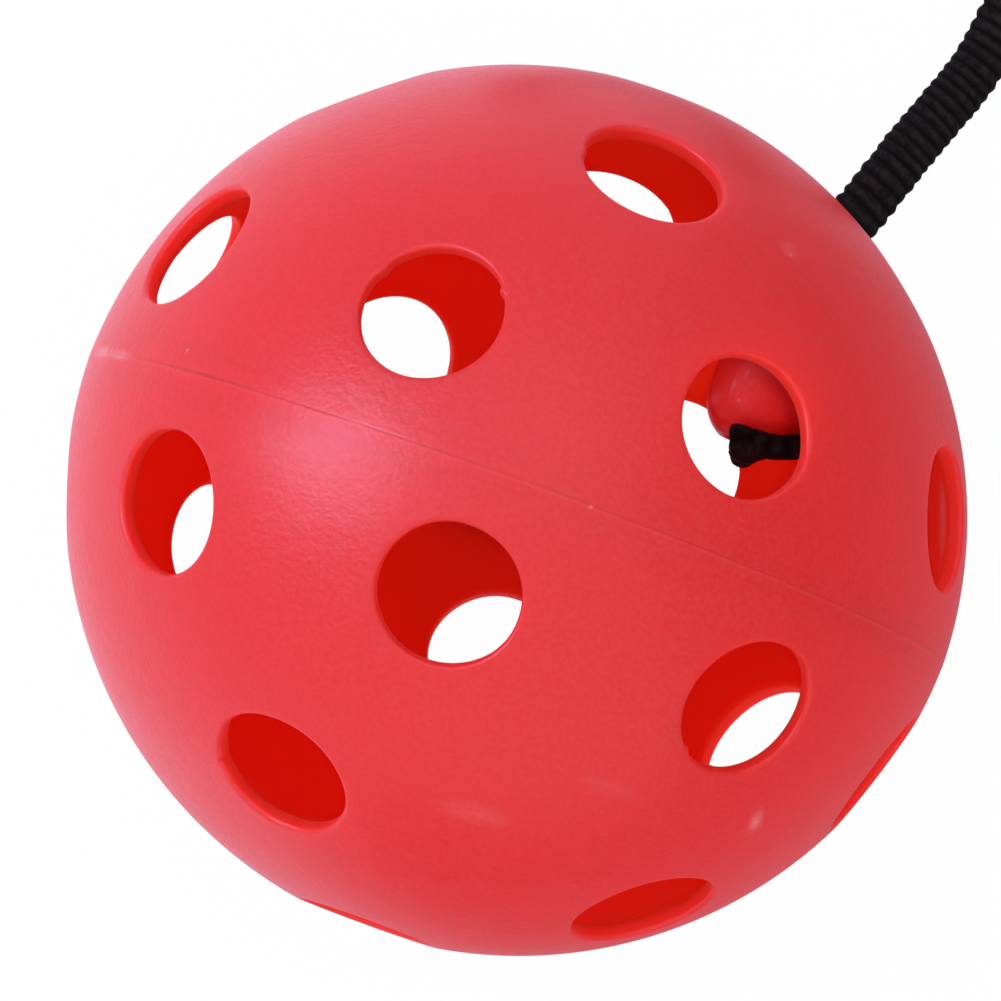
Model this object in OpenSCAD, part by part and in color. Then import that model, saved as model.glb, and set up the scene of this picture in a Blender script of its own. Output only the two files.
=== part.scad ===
// Perforated practice ball on a flat ribbed cord.
// Two half shells are butt welded at the seam. A boss moulded inside the upper
// half carries the bore that the cord runs through, and a knot on the cord
// seats on the boss's nose. The pole axis lies along +Y and the ball rests on
// its seam at z = 0. The cord falls to the same surface and ends in a coil.

/* [Ball] */
// Diameter that each half shell is moulded to
ball_d = 72; // [60:0.5:100]
// Wall thickness
wall = 1.5; // [1.2:0.1:2.5]
// Depth of each rim that the weld takes up
weld_upset = 0.7; // [0:0.05:1.2]
// Chamfer on each rim's outer edge, which makes the seam line
seam_chamfer = 0.2; // [0.1:0.05:0.4]

/* [Air holes] */
// Diameter of each air hole
hole_d = 11.3; // [8:0.1:12.5]
// Chamfer on the outer edge of each hole
hole_chamfer = 0.25; // [0.15:0.05:0.6]
// Latitude of the ring of eight holes next to the seam
ring8_lat = 17.7; // [15:0.1:20]
// Latitude of the ring of four holes next to the pole
ring4_lat = 50.8; // [47:0.1:54]
// Turn of the upper half's pattern about the pole axis, from straight up
upper_turn = 4.2; // [0:0.1:12]
// Turn of the lower half's pattern, set by how the halves met in the weld
lower_turn = -25.8; // [-45:0.1:45]

/* [Cord boss] */
// Distance of the boss from the pole axis
boss_offset = 24; // [20:0.1:26]
// Outer diameter of the boss
boss_d = 9.6; // [8.5:0.1:11]
// Reach of the boss inwards from the inner wall, along its axis
boss_reach = 12; // [8:0.1:14]
// Rounding of the boss's nose
nose_r = 3.8; // [1:0.1:4.2]
// Diameter of the cord bore
bore_d = 4.6; // [4.2:0.1:5.2]
// Widening of the bore at the outer mouth
mouth_flare = 1.2; // [0.6:0.1:1.6]
// Widening of the bore where the knot seats
seat_flare = 0.5; // [0.2:0.05:0.8]

/* [Cord] */
// Width of the flat cord
cord_w = 4.3; // [3.6:0.1:5]
// Thickness of the flat cord
cord_t = 2; // [1.6:0.1:2.4]
// Width of the cord where it is drawn through the bore
bore_w = 4; // [3.2:0.1:4.1]
// Length over which the cord takes its full width again
open_len = 7; // [4:0.5:10]
// Room left between the cord and what it slides in or meets
cord_gap = 0.3; // [0.2:0.05:0.4]
// Depth inside the mouth where the sliding tail begins
tail_depth = 2; // [1:0.1:3]

/* [Knots] */
// Diameter of the stopper knot's body, under the boss's nose
stopper_d = 2.5; // [2.2:0.1:2.8]
// Diameter of the stopper knot's end, which lies round the nose
stopper_end_d = 2; // [1.6:0.1:2.2]
// Radius of the end knot's loop, at the middle of the strand
end_loop_r = 2.3; // [2:0.1:2.6]
// Strand diameter in the end knot
end_strand_d = 2.3; // [2:0.1:2.6]
// Length of the tail that leaves the end knot
end_tail = 5; // [3:0.5:8]

/* [Coil] */
// Radius of the coil's outermost turn, at the middle of the cord
coil_r = 28.5; // [26:0.5:32]
// Number of turns
coil_turns = 3; // [2:1:4]
// Gap between one turn and the next
turn_gap = 0.5; // [0.45:0.05:0.8]
// Radius of the bend that brings the inner end to its knot
inner_bend_r = 11.5; // [11:0.5:13]
// Width of the tie along the cord
tie_w = 4; // [3:0.5:6]
// Thickness of the tie
tie_t = 0.5; // [0.4:0.1:0.8]

/* [Hidden] */
$fn = 64;
RED = "#dd3c40";
BLACK = "#191617";
GREY = "#3a3a3c";

// Ball: each half's own sphere centre lies past the seam by the weld's upset
ball_r = ball_d / 2;
inner_r = ball_r - wall;
seam_edge = weld_upset + seam_chamfer;
centre_z = sqrt(ball_r * ball_r - seam_edge * seam_edge);
hole_r = hole_d / 2;
past = 1;

// Boss: it lies midway between two holes of the ring of four
boss_turn = upper_turn + 135;
bore_r = bore_d / 2;
boss_x = boss_offset * sin(boss_turn);
boss_z = centre_z + boss_offset * cos(boss_turn);
mouth_y = sqrt(ball_r * ball_r - boss_offset * boss_offset) - weld_upset;
tip_y = sqrt(inner_r * inner_r - boss_offset * boss_offset) - weld_upset - boss_reach;
nose_core = boss_d / 2 - nose_r;
seat_run = max(0, bore_r + seat_flare - nose_core);
seat_rise = nose_r - sqrt(nose_r * nose_r - seat_run * seat_run);

// Cord inside the ball: the knot meets the ring where the nose ends at the seat
stopper_y = tip_y + seat_rise - cord_gap;
nose_centre = tip_y + nose_r - stopper_y;
tail_y = mouth_y - tail_depth;

// Coil: it stands on edge, one turn inside the next, lifted by the tie under it
coil_x = -4.5;
coil_y = 83;
coil_z = tie_t + cord_gap + cord_w / 2;
turn_pitch = cord_t + turn_gap;
rings_per_turn = 24;
coil_entry = 6;
inner_r_coil = coil_r - coil_turns * turn_pitch;
inner_bend = 100;
inner_end = 6;
knot_lift = max(0, end_loop_r + end_strand_d / 2 - coil_z);
coil_edge_turn = -90;
section_power = 0.7;

// Route of the free cord: x, y, z and the turn of its flat side from level
cord_route = [
    [boss_x, tail_y + cord_gap, boss_z, 0],
    [boss_x, mouth_y, boss_z, 0],
    [boss_x + 0.1, 27.6, boss_z, 0],
    [16.1, 29.2, 17.7, 0],
    [16.6, 31.0, 17.4, 0],
    [17.2, 32.7, 16.9, 0],
    [17.8, 34.4, 16.2, 0],
    [18.3, 36.1, 15.2, 0],
    [18.9, 37.9, 13.9, 0],
    [19.4, 39.7, 12.4, 0],
    [20.0, 41.5, 10.8, 0],
    [20.6, 43.3, 9.1, 0],
    [21.2, 45.1, 7.4, 0],
    [21.8, 46.9, 5.8, 0],
    [22.3, 48.7, 4.3, 0],
    [22.7, 50.7, 2.9, 0],
    [23.0, 52.9, 1.9, 0],
    [23.3, 55.3, 1.4, 0],
    [23.6, 58.2, 1.4, -6],
    [23.9, 61.5, 1.9, -18],
    [24.0, 65.0, 2.4, -40],
    [24.0, 69.0, 2.7, -65],
    [24.0, 73.0, coil_z, -84],
    [coil_x + coil_r, coil_y - coil_entry, coil_z, coil_edge_turn]
];

function unit(v) = v / norm(v);
function xyz(p) = [p[0], p[1], p[2]];

// Heading at each point of a path, from its neighbours
function headings(p) = [
    for (i = [0 : len(p) - 1])
        unit(xyz(p[min(i + 1, len(p) - 1)]) - xyz(p[max(i - 1, 0)]))
];

// Length along a path up to each of its points
function lengths(p, i = 0, sum = 0) =
    i == len(p) ? [] :
    let (s = i == 0 ? 0 : sum + norm(xyz(p[i]) - xyz(p[i - 1])))
    concat([s], lengths(p, i + 1, s));

// Flat oval section, square shouldered by its power (1 is a plain ellipse)
function oval(n, w, t, power) = [
    for (i = [0 : n - 1])
        let (c = cos(360 * i / n), s = sin(360 * i / n))
        [w / 2 * sign(c) * pow(abs(c), power), t / 2 * sign(s) * pow(abs(s), power)]
];

// One ring of a swept tube: the section set square to the heading and turned
function ring(p, heading, section) =
    let (side = unit(cross(heading, [0, 0, 1])), up = cross(side, heading), a = p[3])
    [for (q = section)
        xyz(p) + (q[0] * cos(a) - q[1] * sin(a)) * side + (q[0] * sin(a) + q[1] * cos(a)) * up];

// Closed triangulated tube through a list of rings of n points each
module tube(rings, n) {
    last = len(rings) - 1;
    sides = [
        for (i = [0 : last - 1], k = [0 : n - 1])
            let (a = i * n + k, b = i * n + (k + 1) % n)
            each [[a, a + n, b], [b, a + n, b + n]]
    ];
    caps = [
        for (k = [1 : n - 2])
            each [[0, k, k + 1], [last * n, last * n + k + 1, last * n + k]]
    ];
    polyhedron([for (r = rings) each r], concat(sides, caps), convexity = 10);
}

// Puts a shape drawn about +Z at the ball's centre with its axis along +Y
module on_ball() {
    translate([0, 0, centre_z]) rotate([-90, 0, 0]) children();
}

// Puts a shape on the bore's axis, drawn towards +Y from the given station
module on_bore(y) {
    translate([boss_x, y, boss_z]) rotate([-90, 0, 0]) children();
}

// Cutter for one air hole, with its chamfer, drawn along +Z from the centre
module hole_cutter() {
    rim = sqrt(ball_r * ball_r - hole_r * hole_r);
    rotate_extrude()
        polygon([
            [0, inner_r - 2 * past],
            [hole_r, inner_r - 2 * past],
            [hole_r, rim - hole_chamfer],
            [hole_r + hole_chamfer + past, rim + past],
            [0, rim + past]
        ]);
}

// The hole pattern of one half: one at the pole, four, then eight by the seam
module hole_pattern(half, turn) {
    rotate([half > 0 ? 0 : 180, 0, 0]) hole_cutter();
    for (k = [0 : 3])
        rotate([0, 90 - half * ring4_lat, turn + 90 * k - 90]) hole_cutter();
    for (k = [0 : 7])
        rotate([0, 90 - half * ring8_lat, turn + 22.5 + 45 * k - 90]) hole_cutter();
}

// One half shell, about the ball's pole axis as +Z, cut off at the weld
module half_shell(half, turn) {
    rim_r = sqrt(ball_r * ball_r - weld_upset * weld_upset);
    intersection() {
        translate([0, 0, -half * weld_upset])
            difference() {
                sphere(r = ball_r);
                sphere(r = inner_r);
                hole_pattern(half, turn);
            }
        mirror([0, 0, half > 0 ? 0 : 1])
            union() {
                translate([0, 0, seam_chamfer])
                    cylinder(r = ball_r + past, h = ball_r);
                cylinder(r1 = rim_r - seam_chamfer, r2 = rim_r + past, h = seam_chamfer + past);
            }
    }
}

// Boss solid with a rounded nose, drawn along +Z from its tip
module boss_form(length) {
    r = boss_d / 2;
    rotate_extrude()
        union() {
            translate([0, nose_r]) square([r, length - nose_r]);
            square([r - nose_r, length]);
            intersection() {
                translate([r - nose_r, nose_r]) circle(r = nose_r);
                translate([r - nose_r, 0]) square([nose_r, nose_r]);
            }
        }
}

// Bore with a flared outer mouth and a flared seat for the knot
module bore_cutter() {
    reach = mouth_y - tip_y;
    translate([0, 0, -past]) cylinder(r = bore_r, h = reach + 6 * mouth_flare);
    translate([0, 0, seat_rise - past])
        cylinder(r1 = bore_r + seat_flare + past, r2 = bore_r, h = seat_flare + past);
    translate([0, 0, reach - mouth_flare])
        cylinder(r1 = bore_r, r2 = bore_r + 2 * mouth_flare, h = 4 * mouth_flare);
}

module upper_shell() {
    color(RED)
        difference() {
            union() {
                on_ball() half_shell(1, upper_turn);
                intersection() {
                    on_bore(tip_y) boss_form(mouth_y - tip_y + boss_d);
                    on_ball() translate([0, 0, -weld_upset]) sphere(r = ball_r - wall / 2);
                }
            }
            on_bore(tip_y) bore_cutter();
        }
}

module lower_shell() {
    color(RED) on_ball() half_shell(-1, lower_turn);
}

// Round ended strand between two points, turned from its half outline
module strand(a, b, d) {
    v = b - a;
    length = norm(v);
    translate(a)
        rotate([0, acos(v[2] / length), atan2(v[1], v[0])])
            rotate_extrude()
                union() {
                    square([d / 2, length]);
                    intersection() {
                        circle(d = d);
                        translate([0, -d]) square(d);
                    }
                    translate([0, length])
                        intersection() {
                            circle(d = d);
                            square(d);
                        }
                }
}

// Overhand knot drawn tight: a loop round the cord, the strand that crosses
// it and the tail. The cord comes in along +Z onto the core's face at z = 0.
module knot(loop_r, d, tail) {
    loop_z = -0.6 * d;
    cross_z = -1.1 * d;
    crossing = [-loop_r / 2, -loop_r, cross_z];
    translate([0, 0, -0.8 * d]) cylinder(r = loop_r, h = 0.8 * d);
    translate([0, 0, loop_z]) rotate_extrude() translate([loop_r, 0]) circle(d = d);
    strand([loop_r, -loop_r / 2, loop_z], crossing, 0.95 * d);
    strand(crossing, crossing + tail * [-0.6, 0.3, -0.5], 0.9 * d);
}

module rounded_rectangle(w, h, r) {
    translate([-w / 2 + r, -h / 2]) square([w - 2 * r, h]);
    translate([-w / 2, -h / 2 + r]) square([w, h - 2 * r]);
    for (x = [-1, 1], y = [-1, 1])
        translate([x * (w / 2 - r), y * (h / 2 - r)]) circle(r = r);
}

module cord_tail() {
    color(BLACK)
        on_bore(stopper_y)
            linear_extrude(height = tail_y - stopper_y)
                rounded_rectangle(bore_w, cord_t, 0.45 * cord_t);
}

// Middle of a strand that lies against the nose, at an angle round it from the
// front and a height over the knot's seat
function round_nose(angle, height, d) =
    let (touch = nose_r + d / 2 + 1.5 * cord_gap,
         r = nose_core + sqrt(touch * touch - pow(nose_centre - height, 2)))
    [r * sin(angle), -r * cos(angle), height];

// Stopper knot: a neck below the tail, the knot's body under the nose from back
// to front, and the cord's end, which comes out at the front and lies round it
module cord_stopper() {
    back = [-0.4, 1.8, -0.7 * stopper_d];
    under = [-0.5, -nose_core - 0.37 * nose_r, -0.68 * stopper_d];
    front = round_nose(-8, -0.15 * stopper_d, stopper_d);
    end = [
        round_nose(-4, 0.2, stopper_end_d),
        round_nose(18, 0.45, stopper_end_d),
        round_nose(43, 1.3, stopper_end_d),
        round_nose(75, 2.1, stopper_end_d)
    ];
    color(BLACK)
        on_bore(stopper_y) {
            translate([0, 0, -stopper_d / 2]) cylinder(d = cord_t, h = stopper_d / 2);
            strand(back, under, stopper_d);
            strand(under, front, stopper_d);
            for (i = [0 : 2])
                strand(end[i], end[i + 1], stopper_end_d * (1.03 - 0.03 * i));
        }
}

// Share of the way from drawn in (0) to full width (1) at a length past the mouth
function opened(s) = min(1, max(0, (s - tail_depth) / open_len));

module cord_lead() {
    n = 12;
    heads = headings(cord_route);
    along = lengths(cord_route);
    last = len(cord_route) - 1;
    rings = [
        for (i = [0 : last])
            let (w = bore_w + opened(along[i]) * (cord_w - bore_w),
                 h = i == 0 || i == last ? [0, 1, 0] : heads[i])
            ring(cord_route[i], h, oval(n, w, cord_t, section_power))
    ];
    color(BLACK) tube(rings, n);
}

// Middle line of the coil: straight in, round and inwards turn by turn, then a
// bend towards the middle and a straight run to the knot
coil_steps = coil_turns * rings_per_turn;
bend_steps = 8;
bend_x = coil_x + inner_r_coil - inner_bend_r;
bend_end = [bend_x + inner_bend_r * cos(inner_bend), coil_y + inner_bend_r * sin(inner_bend), coil_z + knot_lift];
knot_heading = [-sin(inner_bend), cos(inner_bend), 0];
knot_at = bend_end + inner_end * knot_heading;
coil_path = concat(
    [[coil_x + coil_r, coil_y - coil_entry, coil_z, coil_edge_turn]],
    [for (i = [0 : coil_steps])
        let (a = 360 * i / rings_per_turn, r = coil_r - turn_pitch * i / rings_per_turn)
        [coil_x + r * cos(a), coil_y + r * sin(a), coil_z, coil_edge_turn]],
    [for (i = [1 : bend_steps])
        let (a = inner_bend * i / bend_steps)
        [bend_x + inner_bend_r * cos(a), coil_y + inner_bend_r * sin(a), coil_z + knot_lift * i / bend_steps, coil_edge_turn]],
    [[knot_at[0], knot_at[1], knot_at[2], coil_edge_turn]]
);
coil_sides = 6;
coil_headings = headings(coil_path);
coil_rings = [
    for (i = [0 : len(coil_path) - 1])
        ring(coil_path[i], i == 0 ? [0, 1, 0] : i == len(coil_path) - 1 ? knot_heading : coil_headings[i],
             oval(coil_sides, cord_w, cord_t, section_power))
];

// Least gap from one turn of the coil to the next, between points of their rings
coil_gap = min([
    for (i = [1 : len(coil_rings) - rings_per_turn],
         j = [i + rings_per_turn - 3 : min(i + rings_per_turn + 3, len(coil_rings) - 1)],
         a = coil_rings[i], b = coil_rings[j])
        norm(a - b)
]);
echo(least_gap_between_coil_turns_mm = coil_gap);

module cord_coil() {
    color(BLACK) tube(coil_rings, coil_sides);
}

// Elastic loop round all the turns on the far side of the coil
module cord_tie() {
    half_way = turn_pitch / 2;
    outer = coil_r - half_way + cord_t / 2 + cord_gap;
    inner = inner_r_coil + half_way - cord_t / 2 - cord_gap;
    span = outer - inner;
    height = cord_w + 2 * cord_gap;
    corner = 1;
    color(GREY)
        translate([coil_x - (outer + inner) / 2, coil_y + tie_w / 2, coil_z])
            rotate([90, 0, 0])
                linear_extrude(height = tie_w)
                    difference() {
                        rounded_rectangle(span + 2 * tie_t, height + 2 * tie_t, corner + tie_t);
                        rounded_rectangle(span, height, corner);
                    }
}

module cord_end_knot() {
    color(BLACK)
        translate(knot_at)
            rotate([0, -90, atan2(knot_heading[1], knot_heading[0])])
                rotate([0, 0, 90]) knot(end_loop_r, end_strand_d, end_tail);
}

upper_shell();
lower_shell();
cord_tail();
cord_stopper();
cord_lead();
cord_coil();
cord_tie();
cord_end_knot();
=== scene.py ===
"""Perforated ball on a flat ribbed cord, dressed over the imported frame.

Sizes are in metres in the CAD model's frame. The ball's pole axis lies along
+Y, the weld seam lies in the plane y = 0, and the ball rests on z = 0.
"""
import itertools
import math

import bmesh
import bpy
import numpy as np
from mathutils import Matrix, Vector


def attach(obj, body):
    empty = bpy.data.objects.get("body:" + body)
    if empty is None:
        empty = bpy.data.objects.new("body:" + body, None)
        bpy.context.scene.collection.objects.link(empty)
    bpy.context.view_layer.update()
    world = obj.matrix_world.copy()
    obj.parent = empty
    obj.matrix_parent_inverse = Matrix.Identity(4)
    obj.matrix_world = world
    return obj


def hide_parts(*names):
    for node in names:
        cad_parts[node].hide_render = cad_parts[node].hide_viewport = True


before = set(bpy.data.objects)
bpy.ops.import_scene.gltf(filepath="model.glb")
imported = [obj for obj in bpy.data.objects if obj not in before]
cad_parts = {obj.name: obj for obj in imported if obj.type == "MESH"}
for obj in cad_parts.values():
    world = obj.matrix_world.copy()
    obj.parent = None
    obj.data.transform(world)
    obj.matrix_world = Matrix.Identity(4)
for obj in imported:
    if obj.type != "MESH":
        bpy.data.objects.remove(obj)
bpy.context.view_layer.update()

bl_info = {
    "name": "Perforated ball on a cord",
    "version": (1, 0, 0),
    "blender": (4, 5, 0),
    "location": "3D View > Sidebar > Ball",
    "description": "Dresses the packed ball, its cord, knots and tie",
    "category": "Object",
}

MM = 0.001
# Chamfer of each half's rim in the solids, on which the ball rests
RIM_CHAMFER = 0.2 * MM
# Turn of the boss from the first hole of the upper half's ring of four
BOSS_TURN = math.radians(135)


def length(name, description, default):
    """A size in metres."""
    return bpy.props.FloatProperty(
        name=name, description=description, default=default * MM,
        min=0.0, precision=5, subtype="DISTANCE", unit="LENGTH")


def angle(name, description, default):
    """An angle, given in degrees and kept in radians."""
    return bpy.props.FloatProperty(
        name=name, description=description, default=math.radians(default),
        subtype="ANGLE", unit="ROTATION")


def colour(name, description, default):
    """A colour in scene linear values."""
    return bpy.props.FloatVectorProperty(
        name=name, description=description, default=default,
        min=0.0, max=1.0, size=4, subtype="COLOR")


class BallSizes(bpy.types.PropertyGroup):
    """Sizes of the two half shells and the cord boss."""
    ball_d: length("Ball diameter", "Diameter that each half is moulded to", 72)
    wall: length("Wall", "Wall thickness", 1.5)
    weld_upset: length("Weld upset", "Depth of each rim taken up by the weld", 0.7)
    hole_d: length("Hole diameter", "Diameter of each air hole", 11.3)
    outer_round: length("Outer rounding", "Rounding of each hole's outer edge", 0.45)
    inner_round: length("Inner rounding", "Rounding of each hole's inner edge", 0.5)
    ring8_lat: angle("Ring of eight", "Latitude of the holes by the seam", 17.7)
    ring4_lat: angle("Ring of four", "Latitude of the holes by the pole", 50.8)
    upper_turn: angle("Upper turn", "Turn of the upper half's hole pattern", 4.2)
    lower_turn: angle("Lower turn", "Turn of the lower half's hole pattern", -25.8)
    boss_offset: length("Boss offset", "Distance of the boss from the pole axis", 24)
    boss_d: length("Boss diameter", "Outer diameter of the boss", 9.6)
    boss_reach: length("Boss reach", "Reach of the boss inwards", 12)
    nose_r: length("Nose rounding", "Rounding of the boss's nose", 3.8)
    bore_d: length("Bore diameter", "Diameter of the cord bore", 4.6)
    seat_flare: length("Seat flare", "Widening of the bore where the knot seats", 0.5)
    mouth_round: length("Mouth rounding", "Rounding of the bore's outer mouth", 1.0)


class CordSizes(bpy.types.PropertyGroup):
    """Sizes of the flat cord, its knots, its coil and the tie."""
    width: length("Width", "Width of the flat cord", 4.3)
    thickness: length("Thickness", "Thickness of the flat cord", 2)
    bore_w: length("Width in the bore", "Width of the cord drawn through the bore", 4)
    open_len: length("Opening length", "Length over which it takes its full width", 7)
    gap: length("Gap", "Room between the cord and what it meets", 0.3)
    tail_depth: length("Tail depth", "Depth in the mouth where the tail begins", 2)
    rib_pitch: length("Rib pitch", "Distance from one rib to the next", 1.38)
    rib_depth: length("Rib depth", "Depth of the grooves between ribs", 0.2)
    stopper_d: length("Stopper strand", "Strand diameter in the stopper knot", 2.06)
    end_d: length("End strand", "Strand diameter in the end knot", 2.3)
    end_loop_r: length("End loop", "Radius of the loop in the end knot", 2.3)
    coil_r: length("Coil radius", "Radius of the coil's outermost turn", 28.5)
    turn_pitch: length("Turn pitch", "Distance from one turn to the next", 2.5)
    bend_r: length("Inner bend", "Radius of the bend to the end knot", 11.5)
    tie_w: length("Tie width", "Width of the tie along the cord", 4)
    tie_t: length("Tie thickness", "Thickness of the tie", 0.5)


class Finishes(bpy.types.PropertyGroup):
    """Colours of the moulded plastic, the cord and the tie."""
    plastic: colour("Plastic", "Colour of the moulded shells", (0.75, 0.0095, 0.0055, 1))
    # Lighter than the outside plastic: painted light for the light that the wall lets through
    inside: colour("Inside", "Colour inside the shells and their holes", (0.81, 0.030, 0.006, 1))
    hole_wall: colour("Hole wall", "Colour of the holes' walls", (0.8, 0.03, 0.02, 1))
    # Darker than the plastic: painted shade that evens out the band, whose light spreads less far in the wall
    weld: colour("Weld", "Colour of the band by the weld", (0.7, 0.0095, 0.0055, 1))
    # Lighter than the shells' plastic: painted light for the light that reaches the boss through its hole
    boss: colour("Boss", "Colour of the cord boss", (0.84, 0.009, 0.006, 1))
    # Painted shade in the weld's groove
    deep: colour("Weld Shade", "Colour of the deep stretch of the weld", (0.5, 0.006, 0.004, 1))
    # Pale colour of rubbed plastic, also used for painted highlights
    chalk: colour("Chalk And Highlight", "Paler colour of rubbed plastic", (0.78, 0.32, 0.33, 1))
    webbing: colour("Webbing", "Colour of the cord's ribs", (0.018, 0.0138, 0.0143, 1))
    # Painted shade between the cord's ribs, and between the tie's ribs
    groove: colour("Groove", "Colour between the cord's ribs", (0.002, 0.0016, 0.0017, 1))
    elastic: colour("Elastic", "Colour of the tie", (0.035, 0.035, 0.037, 1))


# Camera of the photograph: its axes, its distance from the ball's centre, its
# lens on a 36 mm sensor, and where the ball's centre lies in the picture
IMAGE_PX = 1001
SENSOR_MM = 36.0
LENS_MM = 477.709
CAMERA_AXES = np.array([
    [0.940635, 0.339419, 0.0],
    [-0.338576, 0.938298, 0.070456],
    [0.023914, -0.066273, 0.997515]])
CAMERA_FAR = 1.0537
BALL_AT_PX = (516.267, 510.227)
# Where the picture shows the boss through a hole: right and up from the centre
BOSS_SIGHT_MM = (18.3, 8.4)

# The side that the studio is darkest on, the sides that it and its floor are
# brightest on, and the tint there
DARK_SIDE = (0.94, 0.34, 0.0)
LIT_SIDE = (-0.95, 0.31, 0.0)
LIT_FLOOR = (-0.98, 0.18, 0.0)
LIT_TINT = (0.86, 0.78, 0.99, 1)
WHITE = (1, 1, 1, 1)
# Lamps: name, direction from the ball's centre, distance and size in metres,
# power in watts, tint, and whether the plastic mirrors it
LAMPS = [
    ("key", (-0.717, -0.073, 0.694), 0.9, 0.46, 3.7, LIT_TINT, True),
    ("fill", (0.85, -0.5, 0.3), 0.9, 0.8, 2.4, WHITE, False),
    ("top", (-0.05, 0.35, 1.0), 1.6, 1.3, 2.1, WHITE, True)]
# Spot on the boss, along the camera's own line of sight: distance, power and
# radius of the lamp, and the angle of its cone
SPOT_FAR = 0.5
SPOT_POWER = 9.5
SPOT_SIZE = 0.005
SPOT_CONE = math.radians(1.0)
# Floor: half its side in metres, the share of its light that is its own to
# diffuse rays and to others, its glow in glossy rays from the dark side to the
# lit one, and how far from the ball's middle that glow changes
FLOOR_REACH = 6.0
FLOOR_SHARE = (0.38, 0.98)
FLOOR_GLOW = (0.38, 1.22)
FLOOR_EDGE = 0.03
# Level of the sky's light from the lit side and from the dark one
SKY_LEVEL = (0.93, 0.3)

# Cord route in millimetres: x, y, z and the turn of the flat side in degrees.
# The first points run out of the bore, and the last one meets the coil.
ROUTE = [
    (16.1, 29.2, 17.7, 0), (16.6, 31.0, 17.4, 0), (17.2, 32.7, 16.9, 0),
    (17.8, 34.4, 16.2, 0), (18.3, 36.1, 15.2, 0), (18.9, 37.9, 13.9, 0),
    (19.4, 39.7, 12.4, 0), (20.0, 41.5, 10.8, 0), (20.6, 43.3, 9.1, 0),
    (21.2, 45.1, 7.4, 0), (21.8, 46.9, 5.8, 0), (22.3, 48.7, 4.3, 0),
    (22.7, 50.7, 2.9, 0), (23.0, 52.9, 1.9, 0), (23.3, 55.3, 1.4, 0),
    (23.6, 58.2, 1.4, -6), (23.9, 61.5, 1.9, -18), (24.0, 65.0, 2.4, -40),
    (24.0, 69.0, 2.7, -65), (24.0, 73.0, 2.95, -84)]
# Where the route starts past the mouth: x from the bore's axis, and y
ROUTE_START = (0.1, 27.6)
# Coil in millimetres: its middle, the turn that stands the flat side on edge in
# degrees, the straight length before it, its turns, the points on each turn,
# and the bend and the straight length that lead inwards to the end knot
COIL_AT = (-4.5, 83.0)
EDGE_TURN = -90
COIL_ENTRY = 6.0
COIL_TURNS = 3
COIL_STEPS = 24
INNER_BEND = math.radians(100)
INNER_END = 6.0


def unit(v):
    """Vectors scaled to length 1."""
    return v / np.linalg.norm(v, axis=-1, keepdims=True)


def ball_centre_z(ball):
    """Height of the ball's centre when the seam's chamfered rim is on z = 0."""
    edge = ball.weld_upset + RIM_CHAMFER
    return math.sqrt((ball.ball_d / 2) ** 2 - edge ** 2)


def boss_place(ball):
    """Bore axis (x, z), the mouth's y and the nose's y. The boss stands midway
    between two holes of the ring of four, square to the seam."""
    turn = ball.upper_turn + BOSS_TURN
    x = ball.boss_offset * math.sin(turn)
    z = ball_centre_z(ball) + ball.boss_offset * math.cos(turn)
    outer, inner = ball.ball_d / 2, ball.ball_d / 2 - ball.wall
    mouth = math.sqrt(outer ** 2 - ball.boss_offset ** 2) - ball.weld_upset
    nose = (math.sqrt(inner ** 2 - ball.boss_offset ** 2)
            - ball.weld_upset - ball.boss_reach)
    return x, z, mouth, nose


def nose_start(ball):
    """Angle on the nose's rounding where it meets the seat's ring, and how far
    that ring lies above the tip that the full rounding would have."""
    core = ball.boss_d / 2 - ball.nose_r
    start = math.asin(max(0.0, ball.bore_d / 2 + ball.seat_flare - core) / ball.nose_r)
    return start, ball.nose_r * (1 - math.cos(start))


def grid_faces(rows, columns, closed=True, flip=False, start=0):
    """Quads of a grid of rows by columns, closed across the columns or not."""
    r = np.arange(rows - 1)[:, None]
    k = np.arange(columns if closed else columns - 1)[None, :]
    n = (k + 1) % columns
    quad = np.stack([r * columns + k, r * columns + n,
                     (r + 1) * columns + n, (r + 1) * columns + k], -1)
    if flip:
        quad = quad[..., ::-1]
    return quad.reshape(-1, 4) + start


def new_piece(name, grids, uvs=None, slots=None, crease=None):
    """A smooth mesh object at the origin from (points, faces) grids, whose
    shared borders are merged. uvs holds one row of corners per face, and slots
    the number of each face's material. Edges that bend more than crease are
    sharp."""
    points, faces, base = [], [], 0
    for p, f in grids:
        points.append(p.reshape(-1, 3))
        faces.append(f + base)
        base += len(points[-1])
    points, faces = np.concatenate(points), np.concatenate(faces)
    mesh = bpy.data.meshes.new(name)
    mesh.vertices.add(len(points))
    mesh.vertices.foreach_set("co", points.astype(np.float32).ravel())
    mesh.loops.add(faces.size)
    mesh.loops.foreach_set("vertex_index", faces.astype(np.int32).ravel())
    mesh.polygons.add(len(faces))
    mesh.polygons.foreach_set("loop_start", np.arange(0, faces.size, 4, dtype=np.int32))
    if slots is not None:
        mesh.polygons.foreach_set("material_index", slots.astype(np.int32))
    mesh.update(calc_edges=True)
    if uvs is not None:
        layer = mesh.uv_layers.new(name="Along")
        layer.data.foreach_set("uv", uvs.astype(np.float32).ravel())
    edit = bmesh.new()
    edit.from_mesh(mesh)
    bmesh.ops.remove_doubles(edit, verts=edit.verts, dist=2e-6)
    edit.to_mesh(mesh)
    edit.free()
    mesh.validate()
    mesh.polygons.foreach_set("use_smooth", np.ones(len(mesh.polygons), dtype=bool))
    if crease:
        mesh.set_sharp_from_angle(angle=crease)
    mesh.update()
    obj = bpy.data.objects.new(name, mesh)
    bpy.context.scene.collection.objects.link(obj)
    return obj


# Half shells

# Height of the band by the weld, and the steps on each eighth of it
SEAM_BAND = 1.2 * MM
SEAM_STEPS = 56
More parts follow.
